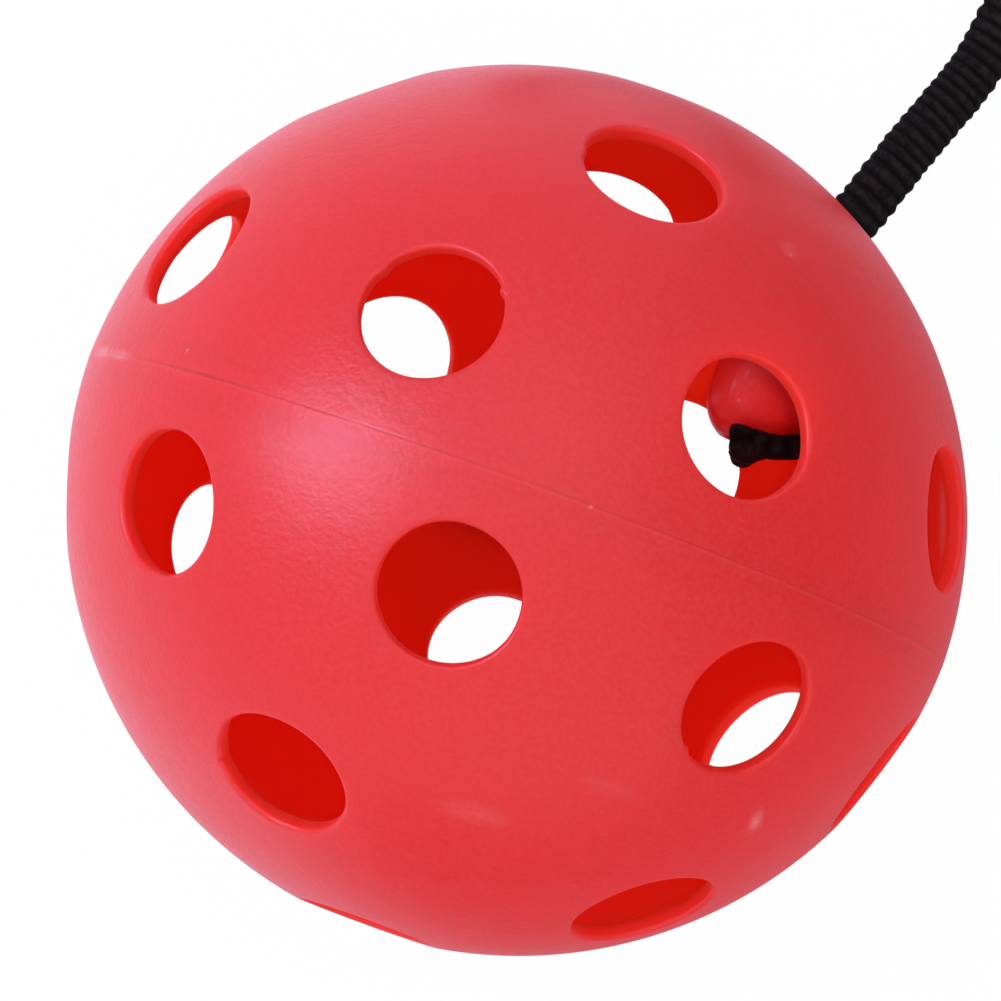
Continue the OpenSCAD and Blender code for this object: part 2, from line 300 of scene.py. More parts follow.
# Step on the patches' other borders, at the ball's radius
PATCH_STEP = 0.56 * MM
PATCH_RADIUS = 36 * MM
# Edges that bend more than this are sharp
CREASE = math.radians(55)
# Rounding where the boss meets the wall
ROOT_ROUND = 0.8 * MM
# Heights of the rows by the weld, outside and inside
SEAM_ROWS = np.array([1.2, 1.0, 0.8, 0.65, 0.5, 0.38, 0.29, 0.22, 0.16, 0.11, 0.07, 0.035, 0.0]) * MM
BACK_ROWS = np.array([0.0, 0.4, 1.2]) * MM
# Weld bead: height over the weld plane, spread and size. Groove: depth and width
BEAD_AT, BEAD_SPREAD, BEAD_HIGH = 0.24 * MM, 0.13 * MM, 0.014 * MM
GROOVE_DEEP, GROOVE_WIDE = 0.014 * MM, 0.12 * MM
# Waves round a bead, and the sizes of a hole's rim waves, two to five a turn
BEAD_WAVES = np.array([1, 2, 3, 5, 7, 9, 11, 14, 19, 23, 31, 37])
RIM_WAVES = np.arange(2, 6)
RIM_WAVE_SIZES = np.array([0.05, 0.04, 0.03, 0.02]) * MM
# Materials of a shell, and the rows of faces that have some of them
OUTSIDE, INSIDE, WALL, WELD, BOSS = range(5)
HOLE_WALL_ROWS = (18, 23)
BORE_ROWS = (20, 26)
BOSS_ROWS = (26, 50)
WELD_ROWS = (0, 12)


def cross_axes(axis):
    """Two unit directions square to an axis and to each other."""
    first = unit(np.cross(axis, [0.31, 0.52, 0.79]))
    return first, np.cross(axis, first)


def hole_axes(ball, half, turn):
    """Unit axes of one half's holes: one at the pole, four, then eight by the
    seam. Longitude turns from +Z towards +X, latitude rises from the seam."""
    lat = np.r_[np.pi / 2, np.full(4, ball.ring4_lat), np.full(8, ball.ring8_lat)]
    lon = turn + np.r_[0, np.arange(4) * np.pi / 2, (np.arange(8) + 0.5) * np.pi / 4]
    return np.c_[np.cos(lat) * np.sin(lon), half * np.sin(lat), np.cos(lat) * np.cos(lon)]


def patch_corners(sites, half, sine, turn):
    """Corners of the patches that share a half shell among its openings, and
    which of them lie on the seam's band. An inner corner is equally far from
    its three nearest sites: the unit normal of the plane through them, kept
    where no other site is nearer. A seam corner lies midway between two holes."""
    i, j, k = np.array(list(itertools.combinations(range(len(sites)), 3))).T
    n = unit(np.cross(sites[j] - sites[i], sites[k] - sites[i]))
    n = np.concatenate([n, -n])
    own = (n * np.concatenate([sites[i], sites[i]])).sum(1)
    keep = ((n @ sites.T).max(1) < own + 1e-9) & (half * n[:, 1] > sine + 1e-6)
    inner = unit(np.unique(np.round(n[keep], 9), axis=0))
    lon = turn + np.arange(8) * np.pi / 4
    flat = math.sqrt(1 - sine ** 2)
    seam = np.c_[flat * np.sin(lon), np.full(8, half * sine), flat * np.cos(lon)]
    return np.concatenate([inner, seam]), np.r_[np.zeros(len(inner), bool), np.ones(8, bool)]


def patch_border(axis, sites, corners, on_seam, counts=None):
    """Points round one patch, counter-clockwise from outside: great circle
    arcs from corner to corner, or the seam's own circle between two seam
    corners. counts gives the steps of each side, found here if not given."""
    mine = corners @ axis > (corners @ sites.T).max(1) - 1e-7
    points, seam = corners[mine], on_seam[mine]
    e1, e2 = cross_axes(axis)
    order = np.argsort(np.arctan2(points @ e2, points @ e1))
    points, seam = points[order], seam[order]
    sides, found = [], []
    for a, b, sa, sb in zip(points, np.roll(points, -1, 0), seam, np.roll(seam, -1)):
        arc = math.acos(min(1.0, a @ b))
        if sa and sb:
            steps = SEAM_STEPS
        elif counts:
            steps = counts[len(found)]
        else:
            steps = max(3, math.ceil(arc * PATCH_RADIUS / PATCH_STEP - 1e-4))
        t = np.arange(steps)[:, None] / steps
        if sa and sb:
            la, lb = math.atan2(a[0], a[2]), math.atan2(b[0], b[2])
            lon = la + ((lb - la + np.pi) % (2 * np.pi) - np.pi) * t[:, 0]
            flat = math.hypot(a[0], a[2])
            side = np.c_[flat * np.sin(lon), np.full(steps, a[1]), flat * np.cos(lon)]
        else:
            side = (np.sin((1 - t) * arc) * a + np.sin(t * arc) * b) / math.sin(arc)
        sides.append(side)
        found.append(steps)
    return np.concatenate(sides), found


def face_slots(rows, columns, *spans):
    """Material of each face of a closed grid: spans of its rows and theirs."""
    slots = np.full(rows - 1, OUTSIDE)
    for first, last, slot in spans:
        slots[first:last] = slot
    return np.repeat(slots, columns)


def hole_patch(ball, centre, axis, outer, inner, ripple):
    """One hole and the wall round it, as one section carried round the axis:
    from the outer border to the rim, over its rounding, through the wall, and
    out again on the inside. ripple(turn, level) gives how far the rim stands
    out at each angle, where level is the share that points along the seam."""
    big, small = ball.ball_d / 2, ball.ball_d / 2 - ball.wall
    f, g = ball.outer_round, ball.inner_round
    along = [unit(b - (b @ axis)[:, None] * axis) for b in (outer, inner)]
    far = [np.arccos(np.clip(b @ axis, -1, 1)) for b in (outer, inner)]
    e1, e2 = cross_axes(axis)
    turn = np.arctan2(along[0] @ e2, along[0] @ e1)
    level = unit(np.array([axis[2], 1e-9, -axis[0]]))
    r = ball.hole_d / 2 + ripple(turn, along[0] @ level)[None, :]

    def sheet(radius, lateral, reach, rows):
        near = np.arcsin(lateral / radius)
        t = near + (reach[None, :] - near) * rows[:, None] ** 1.3
        return radius * np.sin(t), radius * np.cos(t)

    outside = sheet(big, r + f, far[0], np.linspace(1, 0, 14))
    beta = np.linspace(0, np.pi / 2, 7)[1:, None]
    depth = np.concatenate([
        f * (1 - np.cos(beta)),
        np.linspace(f, ball.wall - g, 4)[1:, None],
        ball.wall - g + g * np.sin(np.linspace(0, np.pi / 2, 5)[1:, None])])
    side = np.concatenate([
        r + f * (1 - np.sin(beta)),
        np.repeat(r, 3, 0),
        r + g * (1 - np.cos(np.linspace(0, np.pi / 2, 5)[1:, None]))])
    edge = side, np.sqrt((big - depth) ** 2 - side ** 2)
    inside = sheet(small, r + g, far[1], np.linspace(0, 1, 10)[1:])
    rows = [(outside, along[0]), (edge, along[0]), (inside, along[1])]
    points = np.concatenate([
        centre + h[..., None] * axis + s[..., None] * a[None] for (s, h), a in rows])
    size = points.shape[:2]
    slots = face_slots(*size, (*HOLE_WALL_ROWS, WALL), (HOLE_WALL_ROWS[1], size[0], INSIDE))
    return points, grid_faces(*size), slots


def boss_patch(ball, centre, outer, inner):
    """The cord bore with its boss, as one section carried round the bore: from
    the outer border over the mouth's rounding, down the bore, round the seat
    and the nose, up the barrel, and over its root to the inner border."""
    x, z, _, nose = boss_place(ball)
    foot = np.array([x, z])
    big, small = ball.ball_d / 2, ball.ball_d / 2 - ball.wall
    bore, barrel, m = ball.bore_d / 2, ball.boss_d / 2, ball.mouth_round
    root, seat, tip = ROOT_ROUND, ball.seat_flare, ball.nose_r
    plan = [centre[[0, 2]] + b[:, [0, 2]] * q for b, q in ((outer, big), (inner, small))]
    out = unit(plan[0] - foot)

    def rise(radius, spot):
        flat = spot - centre[[0, 2]]
        return centre[1] + np.sqrt(radius ** 2 - (flat ** 2).sum(-1))

    def ring(lateral):
        return foot + lateral[:, None, None] * out[None]

    def spread(radius, near, border, rows):
        spot = near + (border - near) * rows[:, None, None]
        return spot, rise(radius, spot)

    def quarter(n):
        return np.linspace(0, np.pi / 2, n)[1:]

    parts = [spread(big, ring(np.array([bore + m])), plan[0], np.linspace(1, 0, 14) ** 1.2)]
    b = quarter(8)
    spot = ring(bore + m * (1 - np.sin(b)))
    parts.append((spot, rise(big, spot) - (m * (1 - np.cos(b)))[:, None]))
    last = parts[-1][1][-1]
    t = np.linspace(0, 1, 6)[1:, None]
    start, lift = nose_start(ball)
    parts.append((ring(np.full(5, bore)), last * (1 - t) + (nose + lift + seat) * t))
    g = quarter(5)
    around = np.ones(len(out))
    lip = nose + lift + seat * (1 - np.sin(g))
    parts.append((ring(bore + seat * (1 - np.cos(g))), np.outer(lip, around)))
    d = np.linspace(start, np.pi / 2, 12)[1:]
    bulge = nose + tip * (1 - np.cos(d))
    parts.append((ring(barrel - tip + tip * np.sin(d)), np.outer(bulge, around)))
    low = rise(small, ring(np.array([barrel]))[0]) - root
    t = np.linspace(0, 1, 9)[1:, None]
    parts.append((ring(np.full(8, barrel)), (nose + tip) * (1 - t) + low * t))
    e = quarter(7)
    spot = ring(barrel + root * (1 - np.cos(e)))
    parts.append((spot, rise(small, spot) - (root * (1 - np.sin(e)))[:, None]))
    parts.append(spread(small, ring(np.array([barrel + root])), plan[1], np.linspace(0, 1, 8)[1:]))
    points = np.concatenate([np.stack([s[..., 0], y, s[..., 1]], -1) for s, y in parts])
    size = points.shape[:2]
    slots = face_slots(*size, (*BORE_ROWS, INSIDE), (*BOSS_ROWS, BOSS), (BOSS_ROWS[1], size[0], INSIDE))
    return points, grid_faces(*size), slots


def seam_band(ball, centre, half, turn, bead):
    """The band by the weld, as rows round the pole axis: the sphere's own
    radius with a low bead, a groove down to the weld plane, the weld's face,
    and back up the inner wall."""
    n = 8 * SEAM_STEPS
    lon = turn + np.arange(n) * 2 * np.pi / n
    big, small = ball.ball_d / 2, ball.ball_d / 2 - ball.wall
    radius = np.sqrt(big ** 2 - (SEAM_ROWS + ball.weld_upset) ** 2)[:, None]
    hump = np.exp(-((SEAM_ROWS - BEAD_AT) / BEAD_SPREAD) ** 2)[:, None] * bead(lon)[None]
    groove = GROOVE_DEEP * np.clip(1 - SEAM_ROWS / GROOVE_WIDE, 0, 1)[:, None] ** 0.8
    outside = radius + hump - groove
    inside = np.sqrt(small ** 2 - (BACK_ROWS + ball.weld_upset) ** 2)[:, None] + 0 * lon[None]
    r = np.concatenate([outside, inside])
    rows = half * np.concatenate([SEAM_ROWS, BACK_ROWS])[:, None] + 0 * lon[None]
    points = np.stack([r * np.sin(lon), rows, centre[2] + r * np.cos(lon)], -1)
    size = points.shape[:2]
    slots = face_slots(*size, (*WELD_ROWS, WELD), (WELD_ROWS[1], size[0], INSIDE))
    return points, grid_faces(*size, flip=half > 0), slots


# Flash on the holes' rims: half, hole, angle in degrees, its spread in radians,
# and how far the rim stands in there in millimetres
FLASH = [
    (1, 12, 39, 0.07, 0.2), (1, 12, -80, 0.05, 0.28), (1, 1, 142, 0.08, 0.22), (-1, 1, 49, 0.06, -0.22),
    (-1, 1, 126, 0.05, 0.12), (-1, 6, 37, 0.06, 0.2), (1, 5, 179, 0.3, 0.12)]
# Spread of the other, random flash marks on each rim
FLASH_SPREAD = 0.08
# Holes that the core left narrower along the seam: half, hole, millimetres
NARROW = {(1, 6): 0.55, (1, 7): 0.7}


def half_shell(name, ball, half, turn, seed):
    """One half shell as patches round its openings and the band by the weld."""
    rng = np.random.default_rng(seed)
    centre = np.array([0.0, -half * ball.weld_upset, ball_centre_z(ball)])
    big, small = ball.ball_d / 2, ball.ball_d / 2 - ball.wall
    sites = hole_axes(ball, half, turn)
    holes = len(sites)
    if half > 0:
        x, z, mouth, _ = boss_place(ball)
        sites = np.concatenate([sites, unit(np.array([[x, mouth, z]]) - centre)])
    edges = [patch_corners(sites, half, (SEAM_BAND + ball.weld_upset) / r, turn)
             for r in (big, small)]
    grids = []
    for i, axis in enumerate(sites):
        outer, counts = patch_border(axis, sites, *edges[0])
        inner, _ = patch_border(axis, sites, *edges[1], counts)
        if i < holes:
            phase = rng.uniform(0, 2 * np.pi, 4)
            size = rng.uniform(0.2, 1.0, 4) * RIM_WAVE_SIZES
            marks = [f[2:] for f in FLASH if f[:2] == (half, i)]
            marks += [(rng.uniform(-180, 180), FLASH_SPREAD, rng.uniform(-0.05, 0.07)) for _ in range(2)]
            at, spread, bite = np.array(marks).T[..., None]
            narrow = NARROW.get((half, i), 0.0) * MM

            def ripple(a, level):
                waves = RIM_WAVES[:, None] * a[None] + phase[:, None]
                off = (a[None] - np.radians(at) + np.pi) % (2 * np.pi) - np.pi
                return ((size[:, None] * np.sin(waves)).sum(0) - narrow * level ** 2
                        - (bite * MM * np.exp(-(off / spread) ** 2)).sum(0))

            grids.append(hole_patch(ball, centre, axis, outer, inner, ripple))
        else:
            grids.append(boss_patch(ball, centre, outer, inner))
    phase = rng.uniform(0, 2 * np.pi, len(BEAD_WAVES))

    def bead(lon):
        waves = np.sin(BEAD_WAVES[:, None] * lon[None] + phase[:, None]).sum(0)
        return BEAD_HIGH * (0.9 + 0.25 * waves) * (half < 0)

    grids.append(seam_band(ball, centre, half, turn, bead))
    slots = np.concatenate([g[2] for g in grids])
    return new_piece(name, [g[:2] for g in grids], slots=slots, crease=CREASE)


# Cord, knots and tie

# Points round the cord's section, and sections along each rib
CORD_SIDES = 14
RINGS_PER_RIB = 6
# Squareness of the flat cord's section and of the knots' strands
CORD_POWER, KNOT_POWER = 0.7, 0.85
# Lean of the ribs across the cord, and the length that rounds off its ends
RIB_LEAN = 0.12
CORD_CAP = 0.4 * MM
# Length and share to which the cord is drawn in before the end knot
DRAWN_LEN, DRAWN_SHARE = 5 * MM, 0.62
# Sections along a knot's strand, its ribs' depth, and the turn's rounded ends
KNOT_STEP, KNOT_RIB, TURN_CAP = 0.14 * MM, 0.07 * MM, 0.3 * MM
# Tie: points round its loop and its section, inner corner radius, rib pitch
TIE_STEPS, TIE_SIDES, TIE_CORNER, TIE_RIB = 240, 24, 1.0 * MM, 0.55 * MM


def hermite(points, values, step):
    """A smooth curve through points, sampled every step along its length, with
    values carried along: cubic spans whose tangents are the slopes of the
    parabolas through each three neighbours."""
    data = np.c_[points, values]
    span = np.linalg.norm(np.diff(points, axis=0), axis=1)
    slope = np.diff(data, axis=0) / span[:, None]
    h0, h1 = span[:-1, None], span[1:, None]
    mid = (slope[:-1] * h1 + slope[1:] * h0) / (h0 + h1)
    tangent = np.concatenate([slope[:1], mid, slope[-1:]])
    at = np.r_[0, np.cumsum(span)]

    def evaluate(s):
        i = np.clip(np.searchsorted(at, s, side="right") - 1, 0, len(span) - 1)
        h = span[i][:, None]
        t = ((s - at[i]) / span[i])[:, None]
        return ((2 * t ** 3 - 3 * t ** 2 + 1) * data[i] + (t ** 3 - 2 * t ** 2 + t) * h * tangent[i]
                + (3 * t ** 2 - 2 * t ** 3) * data[i + 1] + (t ** 3 - t ** 2) * h * tangent[i + 1])

    fine = np.linspace(0, at[-1], max(400, 40 * len(points)))
    run = np.r_[0, np.cumsum(np.linalg.norm(np.diff(evaluate(fine)[:, :3], axis=0), axis=1))]
    count = max(2, round(run[-1] / step))
    s = np.linspace(0, run[-1], count + 1)
    out = evaluate(np.interp(s, run, fine))
    return out[:, :3], out[:, 3], s


def coil_height(cord):
    """Height of the cord's middle in the coil, which stands on the tie."""
    return cord.tie_t + cord.gap + cord.width / 2


def cord_line(ball, cord):
    """Middle line of the free cord in metres, from inside the bore along the
    route, round the coil and to the end knot, with the turn of its flat side.
    The coil's radius falls by one pitch a turn, and its end bends inwards."""
    x, z, mouth, _ = boss_place(ball)
    tail = mouth - cord.tail_depth + cord.gap
    start = (x + ROUTE_START[0] * MM, ROUTE_START[1] * MM, z)
    out = np.array([(x, tail, z), (x, mouth, z), start])
    route = np.array(ROUTE)
    cz = coil_height(cord)
    cx, cy = np.array(COIL_AT) * MM
    entry = np.array([[cx + cord.coil_r, cy - COIL_ENTRY * MM, cz]])
    a = np.arange(COIL_TURNS * COIL_STEPS + 1) / COIL_STEPS
    r = cord.coil_r - cord.turn_pitch * a
    turns = np.c_[cx + r * np.cos(2 * np.pi * a), cy + r * np.sin(2 * np.pi * a), np.full(len(a), cz)]
    b = INNER_BEND * np.arange(1, 9) / 8
    bx = cx + r[-1] - cord.bend_r
    lift = max(0.0, cord.end_loop_r + cord.end_d / 2 - cz)
    bend = np.c_[bx + cord.bend_r * np.cos(b), cy + cord.bend_r * np.sin(b), cz + lift * b / b[-1]]
    heading = np.array([-math.sin(INNER_BEND), math.cos(INNER_BEND), 0.0])
    end = bend[-1:] + INNER_END * MM * heading
    points = np.concatenate([out, route[:, :3] * MM, entry, turns, bend, end])
    flat = np.full(len(points), float(EDGE_TURN))
    flat[:len(out)] = 0
    flat[len(out):len(out) + len(route)] = route[:, 3]
    return points, np.radians(flat), heading


def ribbed_tube(points, turn, s, half_w, half_t, power, pitch, depth, lean=0.0, cap=0.0, up=(0, 0, 1)):
    """A flat ribbed cord as a section carried along a line. The section is a
    superellipse turned about the line. Each rib swells and falls about it as
    the size of a sine along the length, and leans across the width. The ribs'
    pitch and depth waver by slow sines. The ends close."""
    n = CORD_SIDES
    heading = unit(np.gradient(points, s, axis=0))
    side = unit(np.cross(heading, np.array(up, float)))
    above = np.cross(side, heading)
    a = np.arange(n) * 2 * np.pi / n
    c, d = np.cos(a), np.sin(a)
    power = np.broadcast_to(power, s.shape)[:, None]
    w = np.sign(c) * np.abs(c) ** power * np.broadcast_to(half_w, s.shape)[:, None]
    t = np.sign(d) * np.abs(d) ** power * np.broadcast_to(half_t, s.shape)[:, None]
    slow = 2 * np.pi * s[:, None] / pitch
    waver = 0.05 * np.sin(slow / 6.3) + 0.04 * np.sin(slow / 4.1 + 1 + 0.5 * c)
    phase = np.pi * ((s[:, None] + lean * w) / pitch + waver)
    uneven = 1 + 0.3 * np.sin(slow / 2.7 + 2 * c) + 0.2 * np.sin(slow / 5.9 + 3 * d)
    fall = depth * uneven * (0.6 - np.abs(np.sin(phase)))
    size = np.hypot(w, t)
    shrink = 1 - fall / np.maximum(size, depth)
    if cap:
        near = np.minimum(s, s[-1] - s)[:, None]
        shrink = shrink * np.sqrt(np.clip(1 - (1 - np.clip(near / cap, 0, 1)) ** 2, 1e-6, 1))
    w, t = w * shrink, t * shrink
    ct, st = np.cos(turn)[:, None], np.sin(turn)[:, None]
    grid = (points[:, None] + (w * ct - t * st)[..., None] * side[:, None]
            + (w * st + t * ct)[..., None] * above[:, None])
    faces = grid_faces(len(s), n)
    rib = phase / np.pi
    return grid, faces, tube_uv(rib)


def tube_uv(along):
    """Corners of each face of a tube: the share of the way round it, and the
    number of ribs along it, whose rows and columns are those of the grid."""
    rows, n = along.shape
    r, k = np.meshgrid(np.arange(rows - 1), np.arange(n), indexing="ij")
    m = (k + 1) % n
    uv = np.stack([np.stack([k / n, along[r, k]], -1), np.stack([(k + 1) / n, along[r, m]], -1),
                   np.stack([(k + 1) / n, along[r + 1, m]], -1), np.stack([k / n, along[r + 1, k]], -1)], 2)
    return uv.reshape(-1, 4, 2)


# Middle lines in millimetres, from where each knot's cord comes in. Stopper
# knot: x, height over the seat, and towards the front. It leaves the bore, runs
# under the nose to the front, and its end lies round the nose. A turn crosses it.
STOPPER_LINE = [
    (0, 0.2, 0), (-0.2, -0.7, 0.6), (-0.5, -0.95, 2.1), (-0.6, -0.65, 3.6),
    (-0.55, -0.15, 4.7), (-0.3, 0.2, 5.05), (0.5, 0.3, 5.0), (1.6, 0.42, 4.9),
    (2.8, 0.82, 4.6), (3.85, 1.32, 4.15), (5.0, 1.8, 2.85), (5.75, 2.15, 1.4)]
STOPPER_TURN = [
    (-0.85, 0.85, 4.7), (-0.9, 0.65, 5.3), (-0.65, -0.05, 5.7), (-0.48, -0.6, 5.4),
    (-0.4, -0.9, 4.6), (-0.3, -0.95, 3.3)]
# End knot: along the cord, to its side and up. One loop round the cord, then
# through it and out at the side as a tail.
END_KNOT_LINE = [
    (-1.5, 0, 0), (0.6, 0.5, 0.2), (1.3, 1.9, -0.5), (1.4, 1.6, -1.9),
    (1.4, 0, -2.2), (1.4, -1.7, -1.6), (1.4, -2.3, 0), (1.4, -1.6, 1.8),
    (1.4, 0.2, 2.4), (1.5, 1.9, 1.6), (2.0, 2.3, 0.2), (2.9, 1.3, -0.6),
    (3.2, -0.3, 0.2), (3.0, -1.7, 0.6), (2.7, -3.2, 0.4), (2.8, -4.6, -0.3), (3.2, -5.6, -1.0)]


def knot_strand(line, start, axes, half_w, half_t, pitch, up, cap):
    """A strand of a knot: the ribbed cord along a smooth line, given in
    millimetres on three axes from a starting point."""
    control = start + np.array(line) * MM @ np.array(axes)
    points, turn, s = hermite(control, np.zeros(len(control)), KNOT_STEP)
    share = s / s[-1]
    return ribbed_tube(points, turn, s, np.interp(share, *half_w), np.interp(share, *half_t),
                       KNOT_POWER, pitch, KNOT_RIB, 0.0, cap, up)


def rounded_loop(half_w, half_h, corner, count):
    """Points of a rounded rectangle, evenly spaced along it: quarter circles at
    its corners, joined by straight sides, counter-clockwise from the right."""
    a = np.linspace(0, np.pi / 2, 12)
    a = np.concatenate([a + k * np.pi / 2 for k in range(4)])
    sx = np.repeat([1, -1, -1, 1], 12) * (half_w - corner)
    sy = np.repeat([1, 1, -1, -1], 12) * (half_h - corner)
    loop = np.c_[sx + corner * np.cos(a), sy + corner * np.sin(a)]
    loop = np.concatenate([loop, loop[:1]])
    run = np.r_[0, np.cumsum(np.linalg.norm(np.diff(loop, axis=0), axis=1))]
    at = np.linspace(0, run[-1], count + 1)
    return np.c_[np.interp(at, run, loop[:, 0]), np.interp(at, run, loop[:, 1])], at


def tie_loop(cord):
    """The elastic tie: a thin strip with round edges carried round a rounded
    rectangle about all the turns. Its width and thickness waver a little."""
    cx, cy = np.array(COIL_AT) * MM
    half = cord.turn_pitch / 2
    inner_r = cord.coil_r - COIL_TURNS * cord.turn_pitch
    outer = cord.coil_r - half + cord.thickness / 2 + cord.gap
    inner = inner_r + half - cord.thickness / 2 - cord.gap
    t = cord.tie_t / 2
    wide, high = (outer - inner) / 2 + t, cord.width / 2 + cord.gap + t
    path, at = rounded_loop(wide, high, TIE_CORNER + t, TIE_STEPS)
    ahead = unit(np.roll(path[:-1], -1, 0) - np.roll(path[:-1], 1, 0))
    ahead = np.concatenate([ahead, ahead[:1]])
    out = np.c_[ahead[:, 1], -ahead[:, 0]]
    b = np.arange(TIE_SIDES) * 2 * np.pi / TIE_SIDES
    turn = at / at[-1] * 2 * np.pi
    span = cord.tie_w / 2 * (1 + 0.02 * np.sin(5 * turn) + 0.015 * np.sin(9 * turn + 1))[:, None]
    across = np.sign(np.cos(b)) * np.abs(np.cos(b)) ** 0.5 * span
    rise = np.sign(np.sin(b)) * np.abs(np.sin(b)) ** 0.7 * t * (1 + 0.05 * np.cos(60 * turn))[:, None]
    flat = path[:, None] + rise[..., None] * out[:, None]
    middle = cx - (outer + inner) / 2
    grid = np.stack([middle + flat[..., 0], cy + across, coil_height(cord) + flat[..., 1]], -1)
    ribs = np.broadcast_to((at / TIE_RIB)[:, None], (len(at), TIE_SIDES))
    return grid, grid_faces(len(at), TIE_SIDES), tube_uv(ribs)


# Materials

# How far light spreads in the wall, the boss and the weld's band, in metres
WALL_REACH, BOSS_REACH, WELD_REACH = 0.0095, 0.003, 0.0002
# How strongly the skin, the inside, the holes' walls and the cord reflect
SKIN_LEVEL, INSIDE_LEVEL, HOLE_WALL_LEVEL, CORD_LEVEL = 0.62, 0.1, 0.2, 0.06
# Shares of the light's spread for red, green and blue, the tint of the skin's
# reflections, and the height of its peel
LIGHT_SPREAD = (1.0, 0.08, 0.05)
SKIN_TINT = (1.0, 0.85, 1.0, 1.0)
PEEL_RELIEF = 0.035 * MM
VALUE, VECTOR, COLOUR = "NodeSocketFloat", "NodeSocketVector", "NodeSocketColor"


def set_inputs(tree, made, links):
    """Sets a node's inputs to values or links them, and gives it back."""
    for key, value in links.items():
        if isinstance(value, bpy.types.NodeSocket):
            tree.links.new(value, made.inputs[key])
        else:
            made.inputs[key].default_value = value
    return made


def place(tree, kind, links=None, **settings):
    """A node with its settings, and its inputs set to values or linked."""
    made = tree.nodes.new(kind)
    for key, value in settings.items():
        setattr(made, key, value)
    return set_inputs(tree, made, links or {})


def maths(tree, operation, *values):
    """A Math node's result."""
    return place(tree, "ShaderNodeMath", dict(enumerate(values)), operation=operation).outputs[0]


def vector_maths(tree, operation, *values):
    """A Vector Math node's outputs."""
    return place(tree, "ShaderNodeVectorMath", dict(enumerate(values)), operation=operation).outputs


def ramp(tree, value, low, high, start=0.0, end=1.0, **settings):
    """A value between low and high, brought to between start and end."""
    limits = {0: value, 1: low, 2: high, 3: start, 4: end}
    return place(tree, "ShaderNodeMapRange", limits, **settings).outputs[0]


def noise(tree, where, scale, detail, roughness=0.5):
    """Noise from 0 to 1 over a position."""
    values = {"Vector": where, "Scale": scale, "Detail": detail, "Roughness": roughness}
    return place(tree, "ShaderNodeTexNoise", values).outputs["Fac"]


def blend(tree, factor, a, b, blend_type="MIX"):
    """One colour laid over another."""
    made = place(tree, "ShaderNodeMix", data_type="RGBA", blend_type=blend_type)
    return set_inputs(tree, made, {0: factor, 6: a, 7: b}).outputs[2]


def new_material(name):
    """An empty material, its tree and its surface shader."""
    material = bpy.data.materials.new(name)
    material.use_nodes = True
    tree = material.node_tree
    tree.nodes.clear()
    shader = place(tree, "ShaderNodeBsdfPrincipled")
    place(tree, "ShaderNodeOutputMaterial", {"Surface": shader.outputs[0]})
    return material, tree, shader


def new_group(name, inputs, outputs):
    """An empty node group with named sockets, its input and output nodes."""
    group = bpy.data.node_groups.new(name, "ShaderNodeTree")
    for title, kind, value in inputs:
        socket = group.interface.new_socket(title, in_out="INPUT", socket_type=kind)
        if value is not None:
            socket.default_value = value
    for title, kind in outputs:
        group.interface.new_socket(title, in_out="OUTPUT", socket_type=kind)
    return group, place(group, "NodeGroupInput").outputs, place(group, "NodeGroupOutput").inputs


def use_group(tree, group, links):
    """A node group placed in a material."""
    made = place(tree, "ShaderNodeGroup", node_tree=group)
    return set_inputs(tree, made, links).outputs


def woven_rib():
    """Ribs and yarns of a woven strip, from a UV of shares round and ribs along.
    Rib is the size of a sine of the ribs. Yarn is a sine round the strip that
    steps by half a yarn at each rib. Fuzz is noise on the same map."""
    group, i, o = new_group(
        "woven_rib", [("UV", VECTOR, None), ("Yarns", VALUE, 12.0), ("Fuzz Scale", VALUE, 1.0)],
        [("Rib", VALUE), ("Yarn", VALUE), ("Fuzz", VALUE)])
    uv = place(group, "ShaderNodeSeparateXYZ", {0: i["UV"]}).outputs
    rib = maths(group, "ABSOLUTE", maths(group, "SINE", maths(group, "MULTIPLY", uv["Y"], math.pi)))
    step = maths(group, "MULTIPLY", maths(group, "FLOOR", uv["Y"]), 0.5)
    round_it = maths(group, "ADD", maths(group, "MULTIPLY", uv["X"], i["Yarns"]), step)
    yarn = maths(group, "ABSOLUTE", maths(group, "SINE", maths(group, "MULTIPLY", round_it, math.pi)))
    stretch = place(group, "ShaderNodeCombineXYZ", {
        0: maths(group, "MULTIPLY", uv["X"], maths(group, "MULTIPLY", i["Yarns"], 0.5)),
        1: maths(group, "MULTIPLY", uv["Y"], 1.3)}).outputs[0]
    fuzz = noise(group, stretch, i["Fuzz Scale"], 3.0, 0.65)
    for title, value in (("Rib", rib), ("Yarn", yarn), ("Fuzz", fuzz)):
        group.links.new(value, o[title])
    return group


def soft_spot_mark():
    """A soft spot round a centre: 1 in the middle, 0 past its reach on each
    axis, broken up by noise."""
    group, i, o = new_group(
        "soft_spot_mark",
        [("Position", VECTOR, None), ("Centre", VECTOR, None), ("Reach", VECTOR, None),
         ("Break Up", VALUE, 0.5)],
        [("Mask", VALUE)])
    off = vector_maths(group, "SUBTRACT", i["Position"], i["Centre"])[0]
    off = vector_maths(group, "DIVIDE", off, i["Reach"])[0]
    far = vector_maths(group, "LENGTH", off)["Value"]
    near = ramp(group, far, 1.0, 0.0, interpolation_type="SMOOTHSTEP")
    grit = ramp(group, noise(group, i["Position"], 1600.0, 2.0), 0.35, 0.65)
    broken = maths(group, "SUBTRACT", 1.0, maths(group, "MULTIPLY", i["Break Up"], grit))
    group.links.new(maths(group, "MULTIPLY", near, broken), o["Mask"])
    return group


